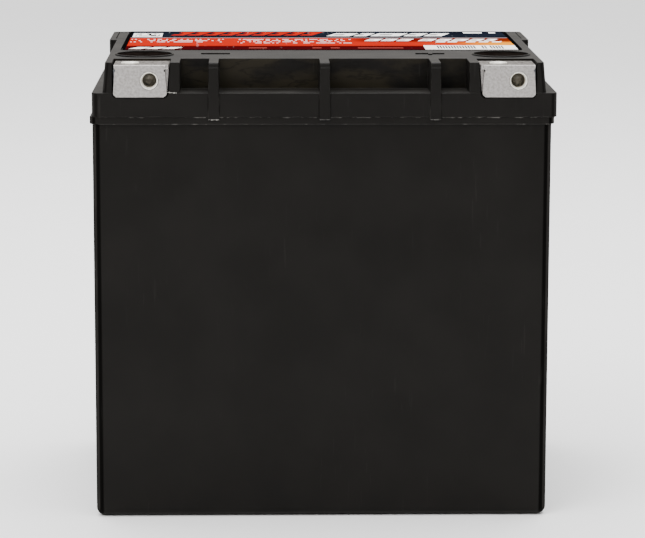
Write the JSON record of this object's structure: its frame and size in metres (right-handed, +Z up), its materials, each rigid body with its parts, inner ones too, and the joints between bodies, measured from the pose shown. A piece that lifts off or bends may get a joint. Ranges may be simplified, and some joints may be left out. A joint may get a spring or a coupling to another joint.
{
  "type": "motorcycle battery",
  "caption": "Sealed 12 V motorcycle battery: black case, welded ribbed cover, bolt-on front-corner terminals, and plate cells in series inside.",
  "frame": {"origin": "centre of the bounding box, on the plane of the underside", "axes": "+Z up, +Y to the back, so the terminals are at the front (-Y), negative at -X and positive at +X"},
  "size_m": [0.167, 0.126, 0.167],
  "materials": {
    "case_plastic": "black moulded container, satin, faintly warm, with handling marks",
    "cover_plastic": "black moulded cover, satin, fine texture on the deck",
    "vent_plastic": "black moulded vent cover, satin",
    "label_print": "laminated printed film in red, navy, orange and white bands",
    "tinned_terminal": "tin-plated copper, matt grey",
    "cast_lead": "cast lead alloy, dull blue-grey",
    "insert_brass": "machined brass, tin-flashed, pale",
    "resin": "poured epoxy, dark brown-black, smooth",
    "valve_rubber": "black elastomer, matt",
    "positive_paste": "lead dioxide paste on a lead grid, dark brown, matt",
    "negative_paste": "sponge lead paste on a lead grid, grey, matt",
    "glass_mat": "white glass-fibre mat, damp"
  },
  "bodies": {
    "battery": {"container": "case_plastic", "cover": "cover_plastic", "vent_cover": "vent_plastic", "top_label": "label_print", "terminal_plate_negative": "tinned_terminal", "terminal_block_negative": "cast_lead", "front_insert_negative": "insert_brass", "top_insert_negative": "insert_brass", "post_negative": "cast_lead", "resin_seal_negative": "resin", "terminal_plate_positive": "tinned_terminal", "terminal_block_positive": "cast_lead", "front_insert_positive": "insert_brass", "top_insert_positive": "insert_brass", "post_positive": "cast_lead", "resin_seal_positive": "resin", "positive_group_1": "positive_paste", "negative_group_1": "negative_paste", "glass_mat_1": "glass_mat", "positive_group_2": "positive_paste", "negative_group_2": "negative_paste", "glass_mat_2": "glass_mat", "positive_group_3": "positive_paste", "negative_group_3": "negative_paste", "glass_mat_3": "glass_mat", "positive_group_4": "positive_paste", "negative_group_4": "negative_paste", "glass_mat_4": "glass_mat", "positive_group_5": "positive_paste", "negative_group_5": "negative_paste", "glass_mat_5": "glass_mat", "positive_group_6": "positive_paste", "negative_group_6": "negative_paste", "glass_mat_6": "glass_mat", "intercell_weld_1": "cast_lead", "intercell_weld_2": "cast_lead", "intercell_weld_3": "cast_lead", "intercell_weld_4": "cast_lead", "intercell_weld_5": "cast_lead"},
    "valve_1": {"valve_cap_1": "valve_rubber"},
    "valve_2": {"valve_cap_2": "valve_rubber"},
    "valve_3": {"valve_cap_3": "valve_rubber"},
    "valve_4": {"valve_cap_4": "valve_rubber"},
    "valve_5": {"valve_cap_5": "valve_rubber"},
    "valve_6": {"valve_cap_6": "valve_rubber"}
  },
  "joints": [
    {"name": "valve_1_lift", "type": "slide", "parent": "battery", "child": "valve_1", "axis": [0, 0, 1], "range_m": [0, 0.0004]},
    {"name": "valve_2_lift", "type": "slide", "parent": "battery", "child": "valve_2", "axis": [0, 0, 1], "range_m": [0, 0.0004]},
    {"name": "valve_3_lift", "type": "slide", "parent": "battery", "child": "valve_3", "axis": [0, 0, 1], "range_m": [0, 0.0004]},
    {"name": "valve_4_lift", "type": "slide", "parent": "battery", "child": "valve_4", "axis": [0, 0, 1], "range_m": [0, 0.0004]},
    {"name": "valve_5_lift", "type": "slide", "parent": "battery", "child": "valve_5", "axis": [0, 0, 1], "range_m": [0, 0.0004]},
    {"name": "valve_6_lift", "type": "slide", "parent": "battery", "child": "valve_6", "axis": [0, 0, 1], "range_m": [0, 0.0004]}
  ]
}
